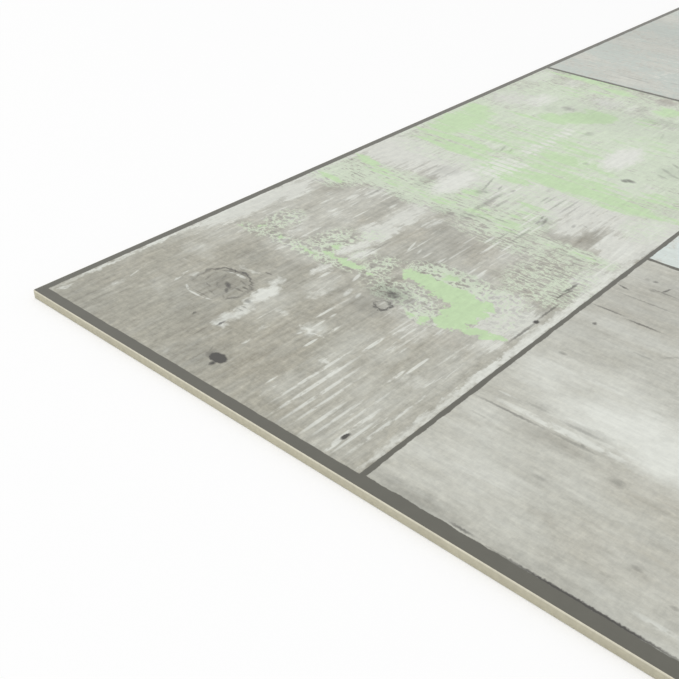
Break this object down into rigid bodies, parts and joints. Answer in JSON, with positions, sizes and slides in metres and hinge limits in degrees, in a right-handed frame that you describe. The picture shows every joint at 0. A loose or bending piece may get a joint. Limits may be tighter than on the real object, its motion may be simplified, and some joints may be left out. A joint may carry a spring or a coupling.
{
  "type": "vinyl floor tile",
  "caption": "Thin square floor tile of filled vinyl with a die-cut edge and a flat face printed as weathered, part-painted boards in dark joints.",
  "frame": {"origin": "centre of the back face, the one that is glued down", "axes": "+Z out of the printed face, +X along the near edge of the picture, +Y away from it"},
  "size_m": [0.3048, 0.3048, 0.0015],
  "materials": {
    "vinyl": "satin printed film on filled vinyl, plain beige cut edge and back"
  },
  "bodies": {
    "root": {"vinyl_tile": "vinyl"}
  },
  "joints": []
}
